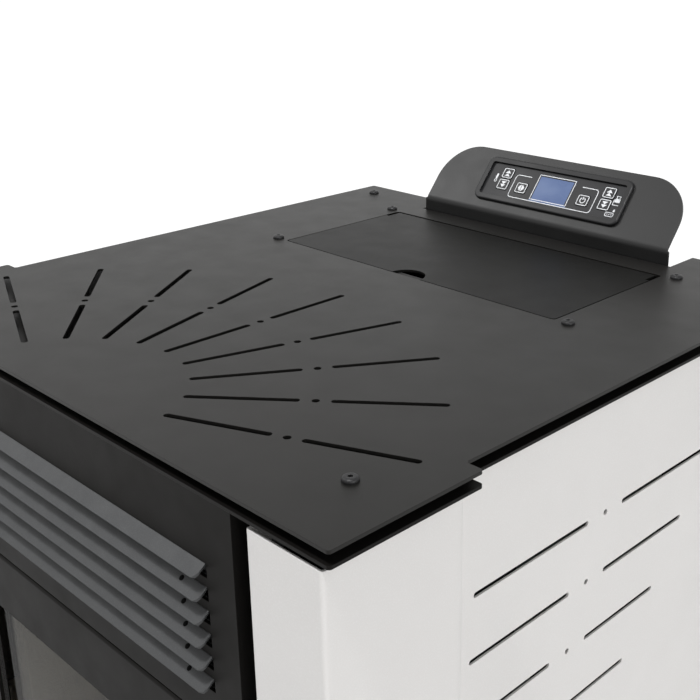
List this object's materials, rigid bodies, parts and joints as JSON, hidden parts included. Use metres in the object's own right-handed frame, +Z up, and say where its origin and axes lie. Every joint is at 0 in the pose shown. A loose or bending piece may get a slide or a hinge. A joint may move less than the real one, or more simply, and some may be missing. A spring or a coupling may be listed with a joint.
{
  "type": "pellet stove",
  "caption": "Free-standing pellet stove with twin top plates, lidded hopper, leaning keypad bracket, louvred head panel, glazed door, ash drawer and slotted side panels.",
  "frame": {"origin": "on the floor under the middle of the whole outline", "axes": "+X to the right seen from the front, +Y from the door towards the flue, +Z up"},
  "size_m": [0.5, 0.584, 0.9991],
  "materials": {
    "top_coat": "fine-textured matt anthracite powder coat",
    "lid_coat": "fine-textured matt anthracite powder coat",
    "front_coat": "fine-textured matt black powder coat",
    "door_coat": "matt black heat-resistant paint",
    "louvre_silver": "satin silver-grey paint",
    "white_coat": "fine-textured matt white powder coat",
    "rear_coat": "matt black powder coat",
    "chassis_black": "matt black paint on folded steel",
    "black_screw": "black-oxide button-head screws",
    "steel_pin": "bright drawn steel",
    "black_foam": "closed-cell foam strip",
    "glass_tape": "woven glass-fibre tape",
    "rope_seal": "graphited glass-fibre rope",
    "spring_steel": "spring steel",
    "bezel_plastic": "glossy black moulding",
    "keypad_film": "gloss black membrane",
    "display_blue": "pale blue display",
    "key_plastic": "gloss black keys with pale printed signs",
    "stove_glass": "clear ceramic glass",
    "handle_black": "matt black steel lever",
    "stove_paint": "matt black heat-resistant paint",
    "fire_board": "pressed vermiculite, soot-streaked",
    "bare_steel": "bare rolled steel",
    "cast_iron": "sand-cast iron",
    "igniter_ceramic": "ceramic heater in a steel sleeve",
    "galvanised": "galvanised sheet",
    "motor_grey": "grey motor casing",
    "control_box": "black circuit-board box",
    "inlet_plastic": "black moulded inlet",
    "rocker_plastic": "black rocker",
    "foot_rubber": "rubber-faced levelling foot"
  },
  "bodies": {
    "stove": {"top_plate": "top_coat", "lower_plate": "top_coat", "control_bracket": "top_coat", "front_frame": "front_coat", "louvre_grille": "louvre_silver", "left_side_panel": "white_coat", "right_side_panel": "white_coat", "rear_panel": "rear_coat", "chassis_frame": "chassis_black", "top_screws": "black_screw", "lid_hinge_pins": "steel_pin", "door_hinge_pins": "steel_pin", "lid_gasket": "black_foam", "control_bezel": "bezel_plastic", "keypad_panel": "keypad_film", "display_screen": "display_blue", "firebox_shell": "stove_paint", "back_fire_board": "fire_board", "left_fire_board": "fire_board", "right_fire_board": "fire_board", "baffle_board": "fire_board", "heat_exchanger_tubes": "bare_steel", "burn_pot_cradle": "cast_iron", "igniter": "igniter_ceramic", "hopper_bin": "galvanised", "hopper_guard": "bare_steel", "auger_tube": "stove_paint", "auger_gearmotor": "motor_grey", "smoke_fan_housing": "stove_paint", "smoke_fan_motor": "motor_grey", "flue_spigot": "stove_paint", "air_intake_pipe": "galvanised", "room_fan_housing": "galvanised", "room_fan_motor": "motor_grey", "control_board": "control_box", "power_inlet": "inlet_plastic"},
    "door": {"door_frame": "door_coat", "door_glass": "stove_glass", "glass_gasket": "glass_tape", "glass_clips": "spring_steel", "door_rope_seal": "rope_seal"},
    "handle": {"door_handle": "handle_black"},
    "lid": {"hopper_lid": "lid_coat"},
    "drawer": {"ash_drawer": "galvanised", "drawer_front": "front_coat"},
    "pot": {"burn_pot": "cast_iron"},
    "auger": {"auger_screw": "bare_steel"},
    "smoke_wheel": {"smoke_fan_wheel": "bare_steel"},
    "room_wheel": {"room_fan_wheel": "bare_steel"},
    "rocker": {"rocker_switch": "rocker_plastic"},
    "left_up_key_body": {"left_up_key": "key_plastic"},
    "left_down_key_body": {"left_down_key": "key_plastic"},
    "mode_key_body": {"mode_key": "key_plastic"},
    "power_key_body": {"power_key": "key_plastic"},
    "right_up_key_body": {"right_up_key": "key_plastic"},
    "right_down_key_body": {"right_down_key": "key_plastic"},
    "left_front_foot_body": {"left_front_foot": "foot_rubber"},
    "left_rear_foot_body": {"left_rear_foot": "foot_rubber"},
    "right_front_foot_body": {"right_front_foot": "foot_rubber"},
    "right_rear_foot_body": {"right_rear_foot": "foot_rubber"}
  },
  "joints": [
    {"name": "door_hinge", "type": "hinge", "parent": "stove", "child": "door", "pos_m": [-0.171, -0.24, 0.514], "axis": [0, 0, -1], "range_deg": [0, 110]},
    {"name": "handle_turn", "type": "hinge", "parent": "door", "child": "handle", "pos_m": [0.171, -0.25, 0.4405], "axis": [0, 1, 0], "range_deg": [0, 50]},
    {"name": "lid_hinge", "type": "hinge", "parent": "stove", "child": "lid", "pos_m": [0, 0.1825, 0.935], "axis": [-1, 0, 0], "range_deg": [0, 78]},
    {"name": "drawer_slide", "type": "slide", "parent": "stove", "child": "drawer", "axis": [0, -1, 0], "range_m": [0, 0.2]},
    {"name": "pot_lift", "type": "slide", "parent": "stove", "child": "pot", "axis": [0, 0, 1], "range_m": [0, 0.06]},
    {"name": "auger_turn", "type": "hinge", "parent": "stove", "child": "auger", "pos_m": [0, 0.042, 0.56], "axis": [0, 0.6428, -0.766], "continuous": true},
    {"name": "smoke_fan_spin", "type": "hinge", "parent": "stove", "child": "smoke_wheel", "pos_m": [-0.115, 0.06, 0.15], "axis": [0, 1, 0], "continuous": true},
    {"name": "room_fan_spin", "type": "hinge", "parent": "stove", "child": "room_wheel", "pos_m": [0.095, 0.095, 0.14], "axis": [1, 0, 0], "continuous": true},
    {"name": "rocker_tip", "type": "hinge", "parent": "stove", "child": "rocker", "pos_m": [0.175, 0.238, 0.106], "axis": [1, 0, 0], "range_deg": [-8, 8]},
    {"name": "left_up_key_press", "type": "slide", "parent": "stove", "child": "left_up_key_body", "axis": [0, 0.766, -0.6428], "range_m": [0, 0.0008], "stiffness_N_per_m": 400},
    {"name": "left_down_key_press", "type": "slide", "parent": "stove", "child": "left_down_key_body", "axis": [0, 0.766, -0.6428], "range_m": [0, 0.0008], "stiffness_N_per_m": 400},
    {"name": "mode_key_press", "type": "slide", "parent": "stove", "child": "mode_key_body", "axis": [0, 0.766, -0.6428], "range_m": [0, 0.0008], "stiffness_N_per_m": 400},
    {"name": "power_key_press", "type": "slide", "parent": "stove", "child": "power_key_body", "axis": [0, 0.766, -0.6428], "range_m": [0, 0.0008], "stiffness_N_per_m": 400},
    {"name": "right_up_key_press", "type": "slide", "parent": "stove", "child": "right_up_key_body", "axis": [0, 0.766, -0.6428], "range_m": [0, 0.0008], "stiffness_N_per_m": 400},
    {"name": "right_down_key_press", "type": "slide", "parent": "stove", "child": "right_down_key_body", "axis": [0, 0.766, -0.6428], "range_m": [0, 0.0008], "stiffness_N_per_m": 400},
    {"name": "left_front_foot_turn", "type": "hinge", "parent": "stove", "child": "left_front_foot_body", "pos_m": [-0.199, -0.19, 0], "axis": [0, 0, 1], "continuous": true},
    {"name": "left_rear_foot_turn", "type": "hinge", "parent": "stove", "child": "left_rear_foot_body", "pos_m": [-0.199, 0.19, 0], "axis": [0, 0, 1], "continuous": true},
    {"name": "right_front_foot_turn", "type": "hinge", "parent": "stove", "child": "right_front_foot_body", "pos_m": [0.199, -0.19, 0], "axis": [0, 0, 1], "continuous": true},
    {"name": "right_rear_foot_turn", "type": "hinge", "parent": "stove", "child": "right_rear_foot_body", "pos_m": [0.199, 0.19, 0], "axis": [0, 0, 1], "continuous": true}
  ]
}
